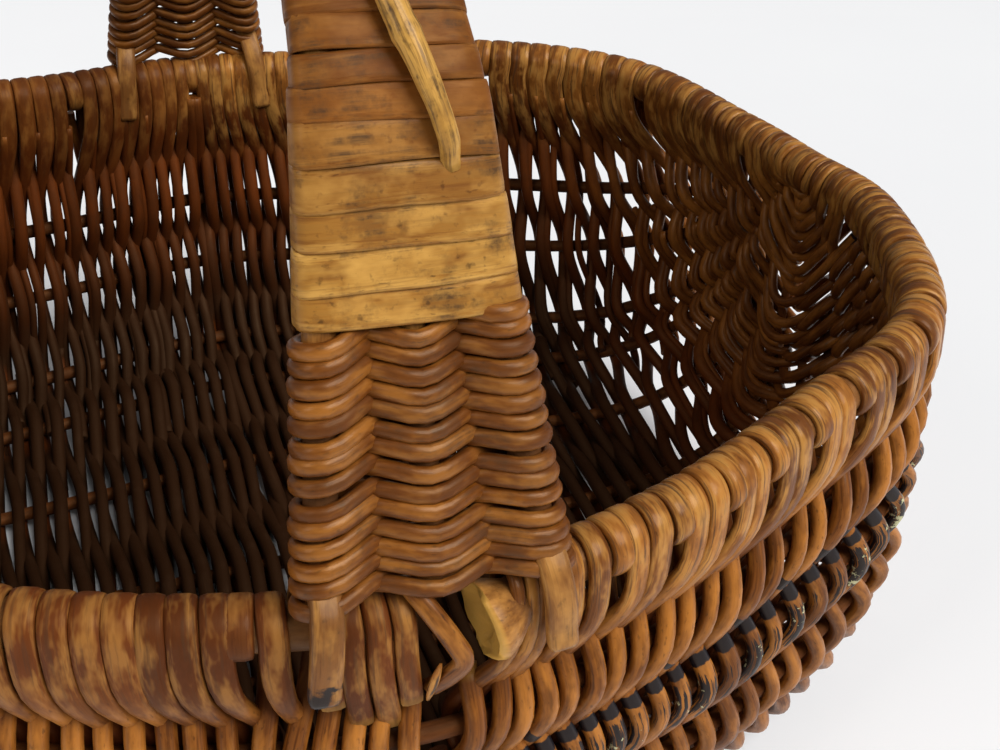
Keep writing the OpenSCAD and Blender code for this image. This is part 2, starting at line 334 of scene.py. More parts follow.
def rod_grain_group():
    """Fine streaks along a rod, blotches, small bark marks and grime, read from
    the rod's own grain attribute, so that they turn and bend with it."""
    tree = bpy.data.node_groups.new("rod_grain", "ShaderNodeTree")
    for word in ("Streaks", "Blotches", "Specks", "Height"):
        tree.interface.new_socket(word, in_out="OUTPUT", socket_type="NodeSocketFloat")
    s = Shader(tree)
    grain = s.attribute("grain", 1)
    tone = s.attribute("tone")
    shift = s.node("ShaderNodeCombineXYZ", {"X": s.math("MULTIPLY", tone, 97.0),
                                            "Y": s.math("MULTIPLY", tone, 41.0),
                                            "Z": s.math("MULTIPLY", tone, 913.0)}).outputs[0]

    def stretched(x, z):
        made = s.node("ShaderNodeVectorMath", {0: grain, 1: (x, x, z), 2: shift},
                      operation="MULTIPLY_ADD")
        return made.outputs[0]

    streaks = s.noise(stretched(1.1, 0.05), 1.0, 4.0, 0.6)
    blotches = s.noise(stretched(0.22, 0.07), 1.0, 3.0, 0.6)
    specks = s.noise(stretched(0.9, 0.45), 1.0, 2.0, 0.5)
    out = s.node("NodeGroupOutput")
    links = tree.links
    links.new(streaks, out.inputs["Streaks"])
    links.new(blotches, out.inputs["Blotches"])
    links.new(s.span(specks, 0.62, 0.74), out.inputs["Specks"])
    height = s.math("ADD", s.math("MULTIPLY", streaks, 0.7), s.math("MULTIPLY", specks, 0.3))
    links.new(height, out.inputs["Height"])
    return tree


GRAIN = rod_grain_group()


def new_material(name):
    material = bpy.data.materials.new(name)
    material.use_nodes = True
    material.node_tree.nodes.clear()
    return material, Shader(material.node_tree)


# Painted shade for the bowl's floor.
PAINTED_FLOOR_SHADE = (0.0165, 0.0044, 0.0011)
RAW_PITH = (0.80, 0.44, 0.09)
GRIME = (0.014, 0.006, 0.0035)
OLD_BLACK = (0.008, 0.008, 0.012)
OLD_CREAM = (0.50, 0.48, 0.27)
SMUDGE = (0.050, 0.024, 0.012)
# A painted gold highlight.
PAINTED_GOLD_HIGHLIGHT = (0.46, 0.22, 0.05)
HANDLED_DARK = (0.045, 0.020, 0.010)
VARNISH_TINT = (1.0, 0.66, 0.36)


def willow(name, pale, mid, deep, inside, rough=0.36, coat=0.25, grime=0.5, smudges=0.2, gloss=0.28):
    """Varnished willow: three browns mixed by streaks and blotches, with painted shade
    that makes it darker towards the bowl's inside and darkest on its floor, with grime and
    painted gold highlights where it goes over the rim, old paint where the paint masks are, and pith on
    cut ends."""
    material, s = new_material(name)
    grain = s.node("ShaderNodeGroup", node_tree=GRAIN)
    tone, inner = s.attribute("tone"), s.attribute("inner")
    base = s.mix(s.span(grain.outputs["Streaks"], 0.32, 0.66), colour(*deep), colour(*mid))
    lift = s.math("ADD", s.span(grain.outputs["Blotches"], 0.38, 0.68),
                  s.math("MULTIPLY", s.math("SUBTRACT", tone, 0.5), 0.9), clamp=True)
    base = s.mix(lift, base, colour(*pale))
    base = s.mix(s.math("MULTIPLY", grain.outputs["Specks"], grime), base, colour(*GRIME))
    # Painted shade: the inside colour, with patches up to 2.2 times lighter, darkens the inside, and the
    # floor shade darkens the floor.
    patches = s.math("ADD", grain.outputs["Blotches"], s.math("MULTIPLY", tone, 0.35))
    patches = s.span(patches, 0.35, 0.95)
    wall = s.mix(patches, colour(*inside), colour(*[2.2 * v for v in inside]))
    shaded = s.mix(s.span(inner, 0.5, 1.0), wall, colour(*PAINTED_FLOOR_SHADE))
    base = s.mix(s.span(inner, 0.0, 0.5), base, shaded)
    wear_and_highlight = s.attribute("wear_and_highlight")
    # A painted gold highlight where the wear-and-highlight mask is set, then real handled dark streaks.
    gold_highlight = s.math("MULTIPLY", wear_and_highlight, s.span(grain.outputs["Blotches"], 0.46, 0.62))
    base = s.mix(gold_highlight, base, colour(*PAINTED_GOLD_HIGHLIGHT))
    handled = s.math("MULTIPLY", wear_and_highlight, s.span(grain.outputs["Streaks"], 0.52, 0.64))
    base = s.mix(handled, base, colour(*HANDLED_DARK))
    object_place = s.node("ShaderNodeTexCoord").outputs["Object"]
    smudge = s.math("MULTIPLY", s.span(s.noise(object_place, 70.0, 5.0, 0.7), 0.50, 0.64), smudges)
    smudge = s.math("MULTIPLY", smudge, s.span(grain.outputs["Streaks"], 0.35, 0.6))
    base = s.mix(smudge, base, colour(*SMUDGE))
    patch = s.noise(object_place, 150.0, 4.0, 0.6)
    black = s.span(s.math("ADD", s.attribute("paint"), s.math("MULTIPLY", patch, 0.8)), 0.86, 0.94)
    base = s.mix(black, base, colour(*OLD_BLACK))
    streaky = s.span(s.math("MULTIPLY", s.attribute("chips"), grain.outputs["Streaks"]), 0.42, 0.46)
    base = s.mix(streaky, base, colour(*OLD_BLACK))
    flakes = s.noise(object_place, 260.0, 4.0, 0.7)
    white = s.span(s.math("MULTIPLY", s.attribute("chips"), flakes), 0.58, 0.61)
    base = s.mix(white, base, colour(*OLD_CREAM))
    base = s.mix(s.attribute("cut"), base, colour(*RAW_PITH))
    roughness = s.span(grain.outputs["Blotches"], 0.3, 0.75, rough + 0.14, rough - 0.06)
    roughness = s.math("ADD", roughness, s.math("MULTIPLY", inner, 0.3))
    varnish = s.span(inner, 0.1, 0.5, coat, 0.0)
    bump = s.node("ShaderNodeBump", {"Height": grain.outputs["Height"], "Strength": 0.5,
                                     "Distance": 0.0004})
    shader = s.node("ShaderNodeBsdfPrincipled", {"Base Color": base, "Roughness": roughness,
                                                 "Coat Weight": varnish, "Coat Roughness": 0.2,
                                                 "Specular IOR Level": gloss,
                                                 "Specular Tint": colour(*VARNISH_TINT),
                                                 "Normal": bump.outputs[0]})
    s.finish(shader)
    return material


# The fourth colour of each willow is its painted shade inside the bowl.
WEAVE = willow("weaver_willow", (0.41, 0.150, 0.025), (0.215, 0.066, 0.010), (0.065, 0.0165, 0.0028),
               (0.060, 0.0130, 0.0020), coat=0.12)
# The rib browns are darkened with painted shade, as the ribs lie in the shade between the weavers.
RIB = willow("rib_willow", (0.12, 0.036, 0.007), (0.07, 0.019, 0.0035), (0.035, 0.009, 0.0018),
             (0.050, 0.0135, 0.0030), rough=0.5, coat=0.0)
GRIP_ROD = willow("handle_willow", (0.50, 0.225, 0.05), (0.30, 0.115, 0.022), (0.12, 0.038, 0.008),
                  (0.08, 0.03, 0.01), rough=0.3, coat=0.1, grime=0.5, smudges=0.4, gloss=0.35)
FOOT = willow("foot_willow", (0.27, 0.082, 0.009), (0.145, 0.040, 0.0044), (0.045, 0.0105, 0.0013),
              (0.055, 0.0135, 0.0018), rough=0.3, coat=0.12, grime=0.5, smudges=0.6, gloss=0.4)
SKEIN = willow("skein", (0.60, 0.33, 0.072), (0.42, 0.19, 0.030), (0.19, 0.07, 0.011),
               (0.085, 0.0215, 0.0022), rough=0.38, coat=0.22, grime=0.6, smudges=0.85)

# ---- weave


def rib_reach(i):
    return np.where(np.asarray(i) % 2 == 0, LONG_RIB_SHARE, SHORT_RIB_SHARE)


def held_ribs(share):
    """The ribs a weaver crosses at this share. Past the ribs' ends it still bends
    over two of them, so that an even number keeps over and under in step."""
    if abs(share) > LONG_RIB_SHARE:
        return [4, 8]
    return [i for i in range(12) if rib_reach(i) >= abs(share)]


def through_knots(x, knots, values, sharp=False):
    """The value at x between knots, easing at each knot, or straight when sharp."""
    k = np.clip(np.searchsorted(knots, x, side="right") - 1, 0, len(knots) - 2)
    u = (x - knots[k]) / (knots[k + 1] - knots[k])
    u = u if sharp else ease(u)
    return values[k] + (values[k + 1] - values[k]) * u


SECTION_RUN = {}


def even_angles(share, start, stop, step):
    """Angles from start to stop that are about step millimetres apart."""
    key = round(abs(float(share)), 3)
    fine = np.linspace(0, 180, 361)
    if key not in SECTION_RUN:
        SECTION_RUN[key] = run_along(bowl(key, fine))
    run = SECTION_RUN[key]
    a, b = np.interp([start, stop], fine, run)
    count = max(6, int(abs(b - a) / step) + 1)
    return np.interp(np.linspace(a, b, count), run, fine)


RIM_SHARES = np.linspace(0, 1, 400)
RIM_RUNS = run_along(rim_point(True, RIM_SHARES))
HALF_RIM = RIM_RUNS[-1]
SHARE_PER_MM = 1 / HALF_RIM


def rim_share(run):
    """The share at which the near rim is run millimetres from the handle."""
    return np.interp(run, RIM_RUNS, RIM_SHARES)


def pair_places(side):
    """Distances from the handle along the near rim, of each pair of passes. They
    stand wider over the right half of the floor and closer on the end walls."""
    pitch_at = [0, 50, 110, 250, 300, HALF_RIM]
    pitch = [7.5, 8.0, 11.3, 11.3, 8.0, 5.0] if side > 0 else [7.4, 7.8, 8.8, 8.8, 7.4, 5.0]
    places = [3.8]
    while places[-1] < HALF_RIM - 5:
        places.append(places[-1] + float(np.interp(places[-1], pitch_at, pitch)))
    return np.array(places)


FAR_GROUP = 8  # after every eighth pair an extra turn fills the far rim
NEAR_GROUP = 2  # and after every second pair on the right half of the near rim
PLAIN_RIM = 30.0  # nearer to the handle than this, the near rim has no extra turns


def rim_shift(k, pitch, group):
    """How far pair k moves at the rim, so that group + 1 turns share group pitches."""
    return -(k % group + 0.5 - 0.5 * group / (group + 1)) / (group + 1) * pitch


def near_group(side, run):
    """How many pairs stand between two extra turns of the near rim, or 0 for none."""
    if side > 0:
        return NEAR_GROUP if run > PLAIN_RIM else 0
    return FAR_GROUP if run > 150 else 0


def rim_stretch(side, run):
    """How much wider than their pitch the near rim's turns stand, where the leaning
    of the rods spreads them."""
    return float(np.clip(1 + (near_lean(side, run + 4) - near_lean(side, run - 4)) / 8, 1.0, 1.5))


def near_lean(side, run):
    """How much farther from the handle a rod crosses the near rim than it meets
    the first rib."""
    if side > 0:
        return float(np.interp(run, [0, 11.3, 18.9, 26.6, 35, 50, 75, 230, 290, 340],
                               [3, 10.5, 6.5, 2.6, 5, 10, 19, 18, 9, 0]))
    return float(np.interp(run, [0, 20, 27, 34, 42, 50, 120, 300, 340],
                           [-1.5, -1.7, -3.0, -4.0, 1.5, 7.4, 5, 4, 0]))


def point_the_ends(share, angle):
    """Towards an end wall the passes draw in at the bowl's corners, so that the
    round hoops of the middle become pointed ones that meet on the keel."""
    corner = np.sin(2 * np.radians(np.clip(angle, 0, 180))) ** 2
    amount = 0.30 * ease((np.abs(share) - 0.4) / 0.4) * corner
    return np.sign(share) * (1 - (1 - np.abs(share)) * (1 - amount))


def zigzag(angle, share):
    """How far a rod is pushed sideways at each rib: most on the near wall."""
    near_wall = 1 - ease((angle - 36) / 20)
    far_wall = ease((angle - 118) / 16)
    size = 2.3 + 1.9 * near_wall - 1.2 * far_wall
    return size * (1 - 0.75 * ease((np.abs(share) - 0.8) / 0.12))


def pass_path(share, sign, start, stop, thickness, seed, leans, step=4.0):
    """One pass of a weaver across the bowl, between two angles.

    At each rib it is pushed outside or inside, and to one side, so the rods of a
    panel nest as chevrons. It leaves the hoop a little below the rim, and then
    leans towards the handle. A slow wander keeps it from lying dead straight.
    """
    tight = float(1 - 0.62 * ease((abs(share) - 0.8) / 0.1))
    angle = even_angles(share, start, stop, step * (0.45 + 0.55 * tight))
    rib_angles = RIB_ANGLES[held_ribs(share)]
    signs = sign * (-1.0) ** np.arange(len(rib_angles) + 2)
    knots = np.r_[0, LEAVES_RIM, rib_angles, 180 - LEAVES_RIM, 180]
    over = signs[1:-1] * (RIB_R + thickness - 0.35) * tight
    offsets = np.r_[[signs[0] * TURN_R] * 2, over, [signs[-1] * TURN_R] * 2]
    sideways = signs[1:-1] * zigzag(rib_angles, share)
    nudge = np.r_[[leans[0]] * 2, sideways, [leans[1]] * 2]
    offset = through_knots(angle, knots, offsets)
    aside = through_knots(angle, knots, nudge, sharp=True)
    aside = np.convolve(np.pad(aside, 2, mode="edge"), [0.15, 0.2, 0.3, 0.2, 0.15], mode="valid")
    free = np.sin(np.radians(angle)) ** 0.4 * tight
    aside = aside + 1.0 * slow_noise(angle / 20.0, seed) * free
    offset = offset + 0.4 * slow_noise(angle / 15.0, seed + 1) * free
    side = np.where(share < 0, -1.0, 1.0)
    where = np.clip(share + side * aside * SHARE_PER_MM, -0.992, 0.992)
    where = point_the_ends(where, angle)
    normal = bowl_normal(where, angle)
    return bowl(where, angle) + offset[:, None] * normal, normal, angle, offset, where


def rim_turn(near, share_in, share_out, first_angle, last_angle, count=15):
    """A turn over the rim, from its outer face, over the top, to its inner face."""
    u = np.linspace(first_angle, last_angle, count)
    u_share = np.linspace(share_in, share_out, count)
    a = np.radians(u)[:, None]
    centre = rim_point(near, u_share)
    out = bowl_normal(u_share, np.full(count, 0.0 if near else 180.0))
    out[:, 2] = 0
    radial = np.cos(a) * unit(out) + np.sin(a) * np.array([0, 0, 1.0])
    return centre + TURN_R * radial, radial


def inside_shade_mask(where, angle, offset, height):
    """Painted shade: 0 outside the near wall, a half on the inner walls, and 1 inside on the floor.
    Beyond the near wall only the crowns that stand outside stay light, and the
    right end wall, where the light falls, is lighter than the rest of the inside."""
    depth = (RIM_Z - height) / (RIM_Z - FLOOR_Z)
    below = ease((depth - 0.01) / 0.13)
    beyond = ease((angle - 40) / 12)
    inside = ease(0.5 - offset / 5.0) * (1 - beyond) + (0.5 + 0.5 * ease((5.6 - offset) / 2.0)) * beyond
    lit_end = 1 - 0.7 * ease((where - 0.45) / 0.3)
    return below * inside * (0.5 + 0.5 * ease((depth - 0.3) / 0.55)) * lit_end


def rim_shade(where, angle):
    """How dark and red the turns over the rim are made with painted shade: most on the left half, away
    from the light.
    """
    left = ease((0.06 - where) / 0.12)
    far = ease((angle - 90) / 60)
    return left * (0.48 - 0.1 * far)


def paint_masks(where, angle, offset, tone):
    """Old paint on the outside of the near right wall: black where the rods go
    under the second row, and a mottled dark and pale band in the row below. The
    rod's tone stands in for chance: it sets how high the black reaches."""
    along = ease((where + 0.02) / 0.08) * ease((0.96 - where) / 0.1) * ease(offset / 1.2)
    reach = (tone * 7.3) % 1.0
    black = ease((angle - 17.6 - 2.6 * reach) / 1.2) * ease((22.6 - angle) / 0.8)
    band = ease((angle - 21.0) / 2.0) * ease((30.5 - angle) / 3.0)
    return along * black, along * band * (0.75 + 0.3 * reach)


def join(legs, key):
    return np.concatenate([leg[key] for leg in legs])


def rod_through(tubes, legs, butt, tip, tone, seed):
    """Makes one rod of its legs: round in the walls, and pressed flat over the rim."""
    path = join(legs, "path")
    flat = np.convolve(np.pad(join(legs, "turn"), 2, mode="edge"), [0.1, 0.2, 0.4, 0.2, 0.1],
                       mode="valid")
    run = run_along(path)
    radius = butt + (tip - butt) * run / run[-1]
    radius = radius * (1 + 0.05 * slow_noise(run / 35.0, seed + 2))
    width = join(legs, "width")
    half_up = radius * (1 - flat) + TURN_HALF_T * flat
    half_side = radius * (1 - flat) + width * flat
    angle, offset, where = join(legs, "angle"), join(legs, "offset"), join(legs, "where")
    paint, chips = paint_masks(where, angle, offset, tone)
    cut = (run < 0.3) * (angle < 30) * 0.25
    # Painted shade: the inside shade, and over the rim the left half's painted shade.
    inner = np.maximum(inside_shade_mask(where, angle, offset, path[:, 2]), rim_shade(where, angle) * flat)
    far = ease((angle - 90) / 60)
    # The left and far turns get less wear and painted gold highlight, as they lie away from the light.
    wear_and_highlight = TURN_WEAR_AND_HIGHLIGHT * (1 - (0.45 + 0.3 * far) * ease((0.06 - where) / 0.12))
    path[:, 2] = np.maximum(path[:, 2], half_up + 0.1)
    tubes.add(path, join(legs, "up"), half_up, half_side, 2 + 0.9 * flat, tone, inner,
              paint * (1 - flat), chips * (1 - flat), flat * wear_and_highlight, cut)


def wall_leg(share, sign, start, stop, thickness, seed, leans, up_sign, rim_widths=(0.0, 0.0)):
    """A pass across the walls and floor. Where it ends at a rim it is already flat,
    and as wide as its turn there: rim_widths are the near and the far one, or 0."""
    path, normal, angle, offset, where = pass_path(share, sign, start, stop, thickness, seed, leans)
    near, far = rim_widths
    at_near = ease((9.0 - angle) / 4.0) * (near > 0)
    at_far = ease((angle - 164.0) / 9.0) * (far > 0)
    turn = np.where(angle < 90, at_near, at_far)
    return {"path": path, "up": up_sign * normal, "angle": angle, "offset": offset, "where": where,
            "turn": turn, "width": np.where(angle < 90, near, far) + 0 * turn}


def turn_leg(near, share_in, share_out, up_sign, width):
    """A weaver's own turn over a rim, between its passes outside and inside."""
    path, radial = rim_turn(near, share_in, share_out, 12.0, 168.0)
    n = len(path)
    return {"path": path, "up": up_sign * radial, "angle": np.full(n, 0.0 if near else 180.0),
            "offset": TURN_R * np.cos(np.radians(np.linspace(0, 180, n))),
            "where": np.linspace(share_in, share_out, n), "turn": np.ones(n),
            "width": np.full(n, width)}


STUB_LENGTHS = (11.0, 9.0, 12.5, 11.5, 8.0)  # degrees below the rim, from the handle leftwards


def weaver(tubes, k, side, places):
    """One willow rod: from its cut butt low inside the far wall, across the floor
    and up outside the near wall, over the rim, back under the basket to the far
    rim, over it, and down inside the far wall to its tip."""
    here, after = places[k], places[k + 1]
    pitch = after - here
    seed = new_seed()
    tone = chance()
    size = 1 - 0.2 * ease((here / HALF_RIM - 0.7) / 0.2)
    butt = chance(2.85, 3.4) * size
    tip = butt * chance(0.84, 0.98)
    group = near_group(side, here)
    turn_pitch = pitch * (group / (group + 1) if group else 1.0)
    jitter = float(RNG.normal(0, 0.3))
    near_shift = (rim_shift(k, pitch, group) if group else 0.0) + near_lean(side, here) + jitter
    far_shift = rim_shift(k, pitch, FAR_GROUP)
    width = min(0.53 * turn_pitch * rim_stretch(side, here), 4.3) * chance(0.94, 1.06)
    if side > 0 and here < 30:
        width = 1.95
    far_width = 0.53 * FAR_GROUP / (FAR_GROUP + 1) * pitch * chance(0.92, 1.06)
    quarter = 0.25 * pitch

    def at(run, shift=0.0):
        return side * float(np.clip(rim_share(run) + shift * SHARE_PER_MM, 0.0, 0.992))

    even, odd, next_even = at(here - quarter), at(here + quarter), at(after - quarter)
    near_out, near_in = at(here, near_shift - 0.35 * quarter), at(here, near_shift + 0.35 * quarter)
    far_out, far_in = at(here, far_shift + 0.4 * quarter), at(here, far_shift + 1.0 * quarter)
    lean_even = (quarter + near_shift - 0.35 * quarter, -1.0)
    lean_odd = (-quarter + near_shift + 0.35 * quarter, far_shift - 0.6 * quarter)
    lean_next = (0.0, far_shift - (pitch - 2 * quarter))
    butt_at = chance(137.0, 140.5)
    last = butt_at - chance(2.5, 6.0)
    mid = 0.5 * (butt + tip)
    back = [turn_leg(False, far_out, far_in, -1, far_width),
            wall_leg(next_even, 1, 178.0, last, tip, seed + 4, lean_next, 1, (0, far_width))]
    # The rods next to the handle begin behind the far rim, so the wall has no gap.
    low_start = butt_at if k else 177.0
    loose = side < 0 and k < len(STUB_LENGTHS) or side > 0 and k == 0
    if not loose:
        rod_through(tubes, [wall_leg(even, 1, butt_at, 1.5, butt, seed, lean_even, 1, (width, 0)),
                            turn_leg(True, near_out, near_in, 1, width),
                            wall_leg(odd, -1, 1.5, 178.0, mid, seed + 3, lean_odd, -1,
                                     (width, far_width))] + back, butt, tip, tone, seed)
        return
    # By the handle's near foot the rods are cut off short at the rim.
    rod_through(tubes, [wall_leg(even, 1, low_start, 19.0, butt, seed, lean_even, 1)],
                butt, 0.95 * butt, tone, seed)
    first = [wall_leg(odd, -1, 9.0, 178.0, mid, seed + 3, lean_odd, -1, (0, far_width))]
    if side < 0 and k:
        stub = wall_leg(near_out, 1, STUB_LENGTHS[k], 1.5, butt, seed, (0, 0), 1)
        stub["path"] = stub["path"] + 0.45 * (TURN_R + 1 - stub["offset"])[:, None] * stub["up"]
        stub["turn"] = np.ones(len(stub["path"]))
        stub["width"] = stub["width"] * 0 + 0.85 * width
        first = [stub, turn_leg(True, near_out, near_in, 1, 0.85 * width),
                 wall_leg(odd, -1, 1.5, 178.0, mid, seed + 3, lean_odd, -1,
                          (0.85 * width, far_width))]
    rod_through(tubes, first + back, butt, tip, tone, seed)


WEAVE_NODES = ["weave_near_rim", "weave_near_wall_1", "weave_near_wall_2", "weave_near_wall_3",
               "weave_near_corner", "weave_floor_1", "weave_floor_2", "weave_floor_3",
               "weave_far_corner_2", "weave_far_corner_1", "weave_far_wall_2", "weave_far_wall_1",
               "weave_far_rim"]
RIB_NODES = ["rib_near_wall_1", "rib_near_wall_2", "rib_near_wall_3", "rib_near_corner",
             "rib_floor_1", "rib_floor_2", "rib_floor_3", "rib_floor_4", "rib_far_corner",
             "rib_far_wall_3", "rib_far_wall_2", "rib_far_wall_1"]


def weave():
    """All the weavers, from the handle towards both ends, in eight lengths."""
    groups = 4
    for side, word in ((-1, "left"), (1, "right")):
        places = pair_places(side)
        count = len(places) - 1
        for g in range(groups):
            tubes = Tubes()
            for k in range(g * count // groups, (g + 1) * count // groups):
                weaver(tubes, k, side, places)
            nodes = WEAVE_NODES if side < 0 and g == 0 else ()
            tubes.build(f"weavers_{word}_{g + 1}", WEAVE, nodes)


def whole_turn(near, share_in, share_out):
    return rim_turn(near, share_in, share_out, TURN_FROM, TURN_TO, TURN_POINTS)


def extra_turns():
    """The turns that fill the rim between groups of rods: each goes once round
    the hoop and hides its two ends below it."""
    tubes = Tubes()
    for side in (-1, 1):
        places = pair_places(side)
        for near in (True, False):
            for k in range(1, len(places) - 1):
                group = near_group(side, places[k - 1]) if near else FAR_GROUP
                if not group or k % group:
                    continue
                pitch = places[k] - places[k - 1]
                middle = places[k] - (0.5 + 0.5 * group / (group + 1)) * pitch + 0.25 * pitch
                lean = near_lean(side, middle) if near else 0.0
                share = side * float(rim_share(middle) + lean * SHARE_PER_MM)
                if abs(share) > 0.985:
                    continue
                slant = float(RNG.normal(0.7, 0.5)) * SHARE_PER_MM * side
                path, up = whole_turn(near, share + slant, share - slant)
                width = 0.53 * group / (group + 1) * pitch * chance(0.9, 1.05)
                width = min(width * rim_stretch(side, middle), 4.3) if near else width
                # The left half's turns get painted shade, and less wear and painted gold highlight.
                shade = float(rim_shade(share, 0.0 if near else 180.0))
                tubes.add(path, up, TURN_HALF_T, width, TURN_SQUARE, chance(), shade,
                          wear_and_highlight=TURN_WEAR_AND_HIGHLIGHT if side > 0 else 0.4)
    # Turns close both ends, where the near and the far rim meet.
    for end in (-1, 1):
        for near in (True, False):
            for share in (0.984, 0.996):
                path, up = whole_turn(near, end * share, end * share)
                tubes.add(path, up, TURN_HALF_T, 2.9, TURN_SQUARE, chance(), wear_and_highlight=0.6)
    # One cut turn stands by the left leg, and one turn fills the far rim's middle.
    path, up = rim_turn(True, -48.9 * SHARE_PER_MM, -48.4 * SHARE_PER_MM, -22, 220, count=20)
    # This turn and the far middle one below are darkened with painted shade.
    tubes.add(path, up, TURN_HALF_T, 4.0, 3.4, 0.25, 0.35, wear_and_highlight=0.3)
    path, up = whole_turn(False, 0.0, 0.0)
    tubes.add(path, up, TURN_HALF_T, 3.2, TURN_SQUARE, 0.6, 0.2, wear_and_highlight=0.4)
    tubes.build("rim_turns", WEAVE, ["rim_wrapping"])


def packing():
    """Short rods that pack the far half of the right end wall, from the keel to
    the far corner, and thinner ones between the rods of the far wall."""
    tubes = Tubes()
    count = 26
    for n in range(count):
        share = 0.57 + 0.36 * (n + 0.5) / count
        sign = 1 if n % 2 else -1
        seed = new_seed()
        thickness = chance(1.8, 2.4)
        leg = wall_leg(share, sign, 86.0 + chance(-3, 3), 152.0 + chance(-6, 6),
                       thickness, seed, (0.0, 0.0), 1)
        rod_through(tubes, [leg], thickness, 0.8 * thickness, chance(), seed)
    # Thinner rods stand between the others of the far wall.
    for first, last, number in ((0.12, 0.62, 30), (-0.5, -0.06, 24)):
        for n in range(number):
            share = first + (last - first) * (n + chance(0.3, 0.7)) / number
            seed = new_seed()
            thickness = chance(1.9, 2.4)
            leg = wall_leg(share, 1 if n % 2 else -1, 126.0 + chance(-5, 5), 175.0,
                           thickness, seed, (0.0, 0.0), 1)
            rod_through(tubes, [leg], thickness, 0.85 * thickness, chance(), seed)
    tubes.build("end_wall_packing", WEAVE)


def bent_end():
    """A loose rod end at the near foot: down over the hoop, out to an elbow, and
    back under, with a split sliver standing off it."""
    tubes = Tubes()
    front = -HALF_WIDTH
    knots = [[-8, front - 2, 13], [-4, front - 8, 8], [1.5, front - 12.5, -1], [4.2, front - 13.5, -8],
             [1.5, front - 11, -15], [-2.5, front - 7, -22]]
    path = through(knots, np.linspace(0, 1, 30)) + [0, 0, RIM_Z]
    tubes.add(path, [0, -1.0, 0.2], 2.2, 2.9, 2.4, tone=0.1, wear_and_highlight=0.1)
    knots = [[-1.5, front - 12, -9], [-3.2, front - 11.5, -16], [-4.6, front - 10.5, -23]]
    path = through(knots, np.linspace(0, 1, 12)) + [0, 0, RIM_Z]
    thin = 1.4 * (1 - 0.7 * np.linspace(-1, 1, 12) ** 2)
    tubes.add(path, [0, -1.0, 0.0], 0.7 * thin, thin, tone=0.9, wear_and_highlight=1.0)
    tubes.build("loose_end", WEAVE)


def ribs():
    """Each rib is a rod that follows the bowl from end to end and tapers there."""
    for i, node in enumerate(RIB_NODES):
        tubes = Tubes()
        reach = float(rib_reach(i))
        share = np.linspace(-reach, reach, 150)
        angle = np.full(share.shape, RIB_ANGLES[i])
        normal = bowl_normal(share, angle)
        taper = 1 - 0.35 * ease((np.abs(share) / reach - 0.82) / 0.18)
        radius = RIB_R * taper * (1 + 0.03 * slow_noise(share * 9, 50 + i))
        # The ribs are also mixed halfway towards their painted inside shade.
        tubes.add(bowl(share, angle), normal, radius, radius * 1.1, tone=chance(),
                  inner=0.25)
        tubes.build(node + "_rod", RIB, [node])


HOOP_FROM, HOOP_TO = 0.0195, 3.984
HOOP_LIFT = 4.5


def hoop():
    """The rim's hoop: one thick rod whose broken near end stands a little proud,
    with a ragged face of raw pith that is sunk in its middle."""
    u = np.r_[np.linspace(HOOP_FROM, HOOP_FROM + 0.02, 5), np.linspace(HOOP_FROM + 0.03, HOOP_TO, 260)]
    near = (u <= 1) | (u > 3)
    share = np.where(u <= 1, u, np.where(u <= 3, 2 - u, u - 4))
    path = np.where(near[:, None], rim_point(True, share), rim_point(False, share))
    lift = HOOP_LIFT * ease(1 - (u - HOOP_FROM) / 0.1)
    path[:, 1] -= lift
    path[:, 2] -= 1.4 * lift
    tubes = Tubes(sides=24)
    radius = HOOP_R * (1 + 0.02 * slow_noise(u * 12, 5))
    # The first rings fold back into a ragged, hollow face.
    ahead = unit(np.gradient(path, axis=0))
    inside = np.array([0.25, 0.6, 0.85, 0.97])
    swell = ease(1 - (u - u[4]) / 0.03)
    radius = radius * (1 + 0.85 * swell)
    radius[:4] = radius[4] * inside
    path[:4] = path[4] + np.array([[2.4, 0, 0], [1.0, 0, 0], [-0.8, 0, 0], [-1.8, 0, 0]])
    cut = np.zeros(len(u))
    cut[:4] = 1.0
    # The hoop is darkened with painted shade where it lies under the turns, and not at its swollen
    # broken end.
    tubes.add(path, [0, 0, 1.0], radius, radius, tone=0.6, inner=0.4 * (1 - swell), cut=cut,
              ahead=ahead)
    rings = tubes.points[0].reshape(len(u), tubes.sides, 3)
    round_it = np.linspace(0, 2 * np.pi, tubes.sides, endpoint=False)
    ragged = np.stack([1.5 * slow_noise(3 * np.sin(round_it) + 2 * np.cos(round_it), 40 + n, 4)
                       for n in range(4)])
    rings[:4, :, 0] += ragged * np.array([0.4, 0.8, 1.0, 1.0])[:, None]
    tubes.points[0] = rings.reshape(-1, 3)
    tubes.build("hoop_rod", GRIP_ROD, ["rim_hoop"])


# ---- handle

FOOT_RISE = np.array([[29.5, -HALF_WIDTH, 18], [22.5, 19 - HALF_WIDTH, 0.33 * HANDLE_HEIGHT],
                      [17.8, 34 - HALF_WIDTH, 0.54 * HANDLE_HEIGHT],
                      [14.5, 48 - HALF_WIDTH, 0.64 * HANDLE_HEIGHT],
                      [12.5, 101 - HALF_WIDTH, 0.88 * HANDLE_HEIGHT], [12, 0, HANDLE_HEIGHT]])
ROD_LINE = np.vstack([FOOT_RISE, FOOT_RISE[-2::-1] * [1, -1, 1]])


def handle_line(share):
    """The right handle rod's line, drawn on straight past its two ends."""
    share = np.asarray(share, float)
    inside = through(ROD_LINE, share)
    low = np.minimum(share, 0)[..., None] * (ROD_LINE[1] - ROD_LINE[0]) * (len(ROD_LINE) - 1)
    high = np.maximum(share - 1, 0)[..., None] * (ROD_LINE[-1] - ROD_LINE[-2]) * (len(ROD_LINE) - 1)
    return inside + low + high


def handle_point(share, spread):
    """The same line, with its distance from the middle times spread: 1 is the right
    rod, -1 the left and 0 the centre one."""
    return handle_line(share) * [spread, 1, 1] + [0, 0, RIM_Z]


